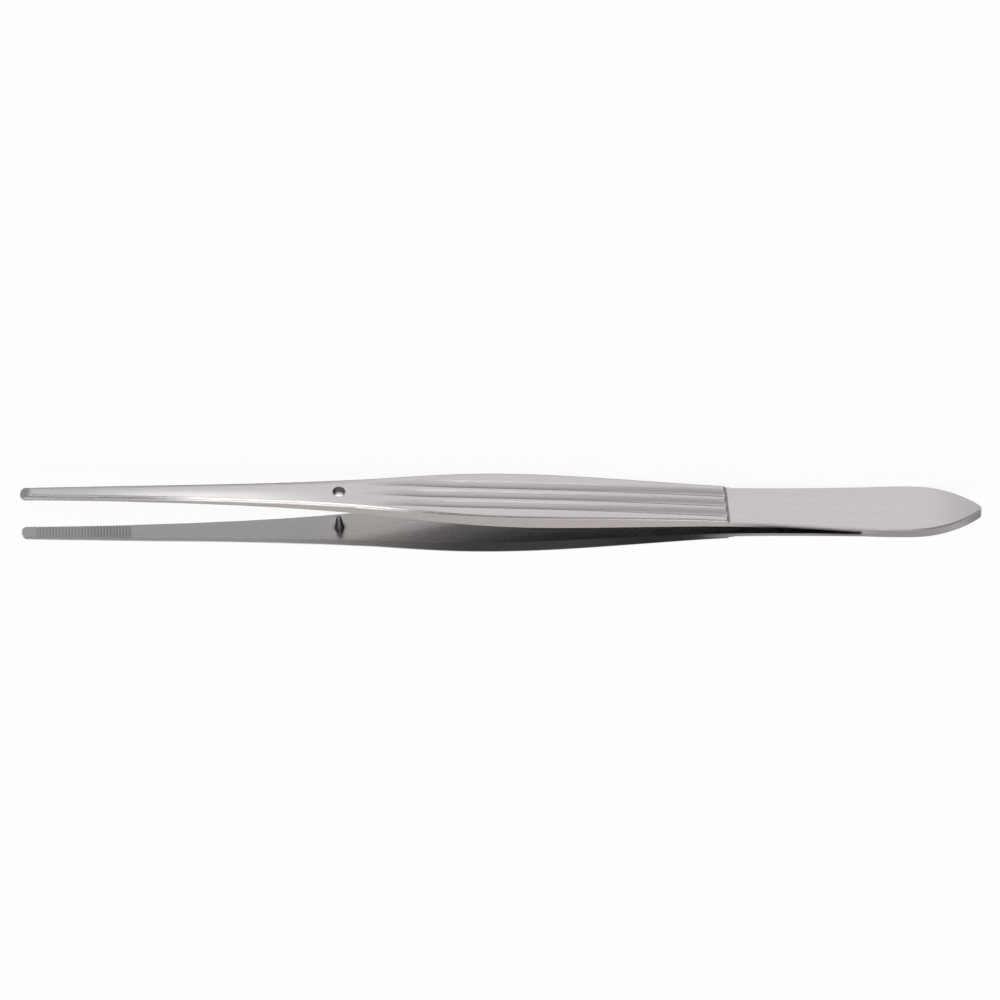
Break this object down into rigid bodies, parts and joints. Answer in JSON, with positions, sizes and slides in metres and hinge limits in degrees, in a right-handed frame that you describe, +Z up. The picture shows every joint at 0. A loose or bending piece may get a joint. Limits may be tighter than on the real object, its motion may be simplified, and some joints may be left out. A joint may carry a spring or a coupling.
{
  "type": "thumb forceps",
  "caption": "Straight spring thumb forceps with serrated blunt jaws, fluted finger grips, a guide pin and its hole, and a flat pointed heel.",
  "frame": {"origin": "middle of the box that holds the instrument, on the surface on which it lies", "axes": "+X along the instrument from the heel to the tips, +Y from the arm with the guide hole to the arm with the guide pin, the way the jaws open, +Z up from the surface, across the width of the arms"},
  "size_m": [0.15, 0.011, 0.009],
  "materials": {
    "satin_steel": "satin, brushed along the arms",
    "pin_steel": "bright turned steel"
  },
  "bodies": {
    "root": {"holed_arm": "satin_steel", "pinned_arm": "satin_steel", "guide_pin": "pin_steel"}
  },
  "joints": []
}
